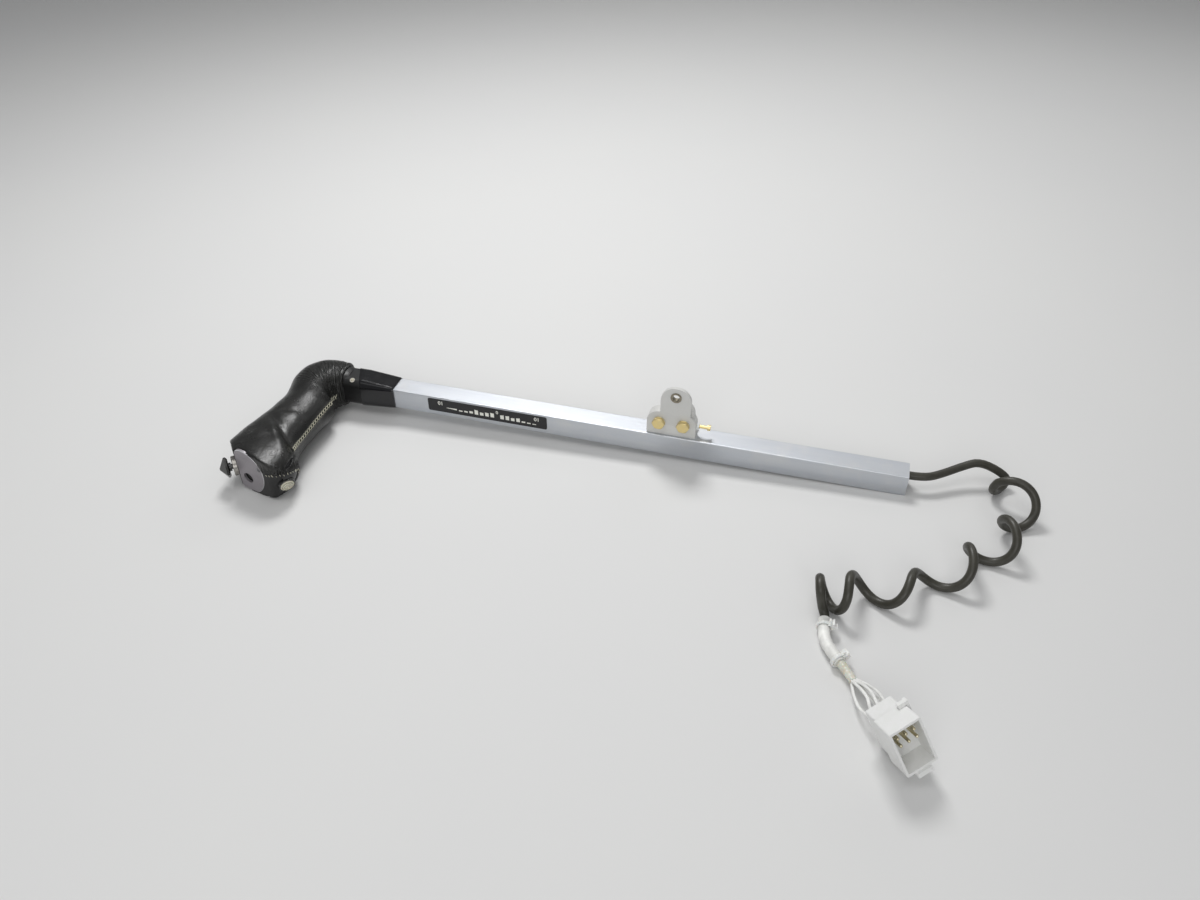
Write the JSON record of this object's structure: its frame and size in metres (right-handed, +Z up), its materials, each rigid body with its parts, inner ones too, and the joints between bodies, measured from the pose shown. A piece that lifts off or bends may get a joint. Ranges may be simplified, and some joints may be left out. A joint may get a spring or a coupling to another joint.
{
  "type": "control yoke grip",
  "caption": "Leather covered control yoke grip on a square sliding tube, with hat and push switches, link bracket, trim scale, curly cord and plug.",
  "frame": {"origin": "on the floor under the middle of the yoke's bounding box, as the yoke lies on its side; the cord and plug are left out of that box", "axes": "+X towards the tube's cord end, nearly along the tube; -Y the way the grip points; +Z up from the floor"},
  "size_m": [0.6413, 0.3056, 0.0707],
  "materials": {
    "tube_aluminium": "drawn, clear anodised",
    "gloss_black": "gloss",
    "black_plastic": "satin",
    "dark_steel": "satin",
    "black_leather": "stretched, semi gloss",
    "cap_leather": "semi gloss",
    "grey_anodised": "fine matte anodised",
    "switch_plastic": "matte",
    "button_black": "satin",
    "bezel_black": "gloss",
    "cream_plastic": "satin",
    "chrome_ring": "polished",
    "hat_black": "gloss",
    "scale_black": "printed",
    "white_paint": "satin",
    "bush_bronze": "plain",
    "gold_plated": "yellow passivated",
    "white_plastic": "plain",
    "zinc_plated": "plated",
    "rivet_aluminium": "plain",
    "clip_plastic": "plain",
    "cord_rubber": "dull",
    "sleeve_white": "plain",
    "splice_tan": "translucent",
    "wire_white": "plain",
    "plug_nylon": "natural nylon",
    "pin_gold": "plated"
  },
  "bodies": {
    "yoke": {"yoke_tube": "tube_aluminium", "neck_collar": "gloss_black", "grip_core_upper": "black_plastic", "grip_core_lower": "black_plastic", "core_screws": "dark_steel", "neck_screw": "dark_steel", "leather_wrap": "black_leather", "leather_cap": "cap_leather", "top_plate": "grey_anodised", "plate_screw": "dark_steel", "press_switch": "switch_plastic", "talk_switch": "switch_plastic", "talk_bezel": "bezel_black", "hat_ring": "chrome_ring", "hat_switch": "switch_plastic", "trim_scale": "scale_black", "link_plate": "white_paint", "bracket_base": "white_paint", "link_bush": "bush_bronze", "stop_screw": "gold_plated", "stop_nut": "white_plastic", "bracket_bolts": "gold_plated", "bracket_washers": "zinc_plated", "bracket_nuts": "gold_plated", "bracket_rivets": "rivet_aluminium", "cord_clip": "clip_plastic", "inner_cable": "cord_rubber", "cord_lead": "cord_rubber", "cord_curl": "cord_rubber", "white_sleeve": "sleeve_white", "wire_splice": "splice_tan", "cable_ties": "white_plastic", "plug_wires": "wire_white", "plug_housing": "plug_nylon", "plug_pins": "pin_gold"},
    "hat_gimbal_ring": {"hat_gimbal": "dark_steel"},
    "trim_hat": {"hat_knob": "hat_black"},
    "press_button_cap": {"press_button": "button_black"},
    "talk_button_cap": {"talk_button": "cream_plastic"}
  },
  "joints": [
    {"name": "hat_side_tilt", "type": "hinge", "parent": "yoke", "child": "hat_gimbal_ring", "pos_m": [-0.25545, -0.06299, 0.01883], "axis": [0.6559, -0.7547, -0.0153], "range_deg": [-8, 8], "stiffness_Nm_per_rad": 0.05},
    {"name": "hat_up_tilt", "type": "hinge", "parent": "hat_gimbal_ring", "child": "trim_hat", "pos_m": [-0.25545, -0.06299, 0.01883], "axis": [0.0233, 0, 0.9997], "range_deg": [-8, 8], "stiffness_Nm_per_rad": 0.05},
    {"name": "press_button_push", "type": "slide", "parent": "yoke", "child": "press_button_cap", "axis": [0.2249, 0.9744, -0.0053], "range_m": [0, 0.0015], "stiffness_N_per_m": 600},
    {"name": "talk_button_push", "type": "slide", "parent": "yoke", "child": "talk_button_cap", "axis": [-0.7297, 0.6179, 0.2928], "range_m": [0, 0.0012], "stiffness_N_per_m": 800}
  ]
}
